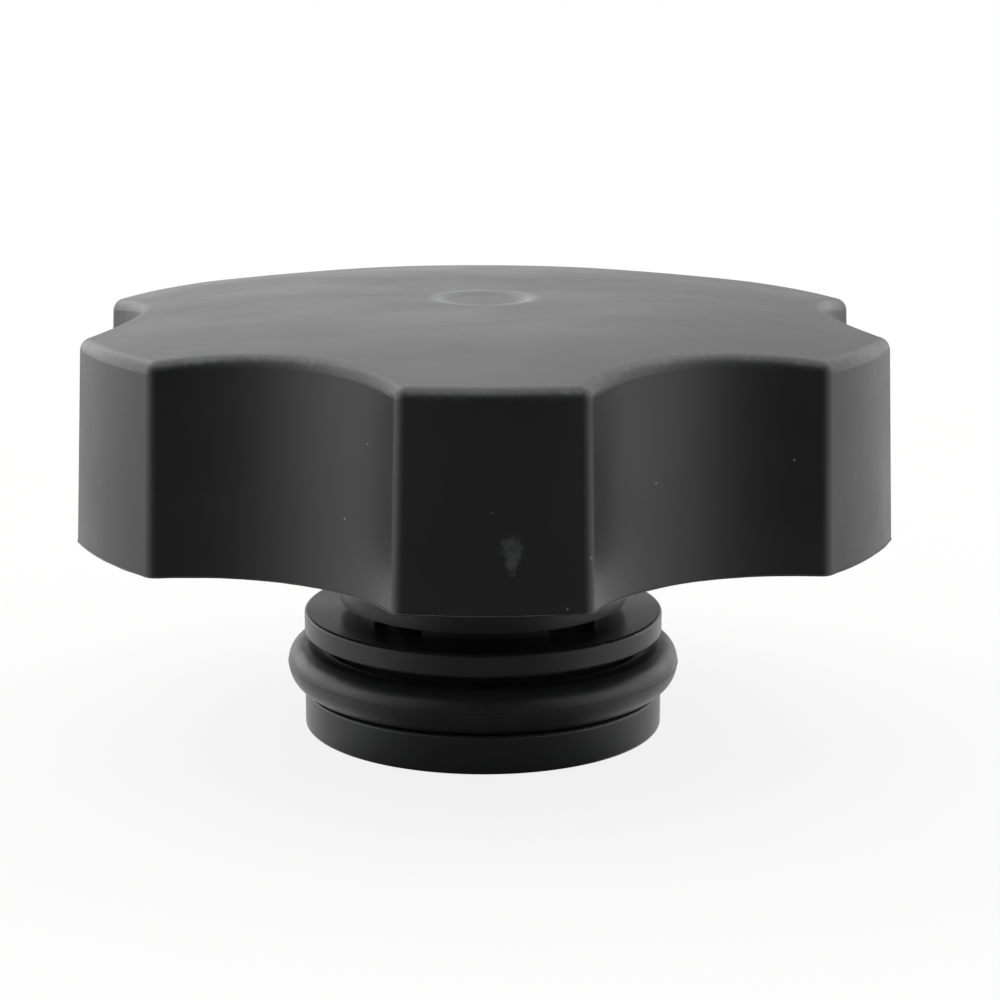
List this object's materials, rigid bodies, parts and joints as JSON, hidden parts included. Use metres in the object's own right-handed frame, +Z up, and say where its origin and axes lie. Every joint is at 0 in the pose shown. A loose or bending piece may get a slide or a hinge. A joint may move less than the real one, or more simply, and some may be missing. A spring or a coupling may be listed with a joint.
{
  "type": "coolant reservoir cap",
  "caption": "Star-shaped black screw cap for a coolant expansion tank, with a swivelling O-ring plug that holds a sprung pressure relief valve and a vacuum valve.",
  "frame": {"origin": "centre of the plug's foot, on the surface that the cap stands on", "axes": "+Z up along the cap's axis to its crown, -Y towards the lobe that faces the viewer"},
  "size_m": [0.07, 0.074, 0.0391],
  "materials": {
    "cap_plastic": "satin moulded black",
    "plug_plastic": "satin moulded black",
    "seal_rubber": "smooth moulded rubber",
    "valve_plastic": "natural acetal",
    "spring_steel": "drawn wire",
    "valve_brass": "turned brass"
  },
  "bodies": {
    "insert": {"valve_body": "plug_plastic", "spring_housing": "plug_plastic", "body_o_ring": "seal_rubber", "relief_spring": "spring_steel"},
    "cap": {"star_cap": "cap_plastic"},
    "relief": {"relief_plate": "valve_plastic", "relief_seal": "seal_rubber", "vacuum_spring": "spring_steel"},
    "vacuum": {"vacuum_valve": "valve_brass", "vacuum_clip": "spring_steel"}
  },
  "joints": [
    {"name": "cap_swivel", "type": "hinge", "parent": "insert", "child": "cap", "pos_m": [0, 0, 0.0325], "axis": [0, 0, 1], "continuous": true},
    {"name": "relief_lift", "type": "slide", "parent": "insert", "child": "relief", "axis": [0, 0, 1], "range_m": [0, 0.0025], "stiffness_N_per_m": 30, "springref_m": -0.008, "deforming": ["relief_spring"]},
    {"name": "vacuum_drop", "type": "slide", "parent": "relief", "child": "vacuum", "axis": [0, 0, -1], "range_m": [0, 0.0012], "stiffness_N_per_m": 15, "springref_m": -0.004, "deforming": ["vacuum_spring"]}
  ]
}
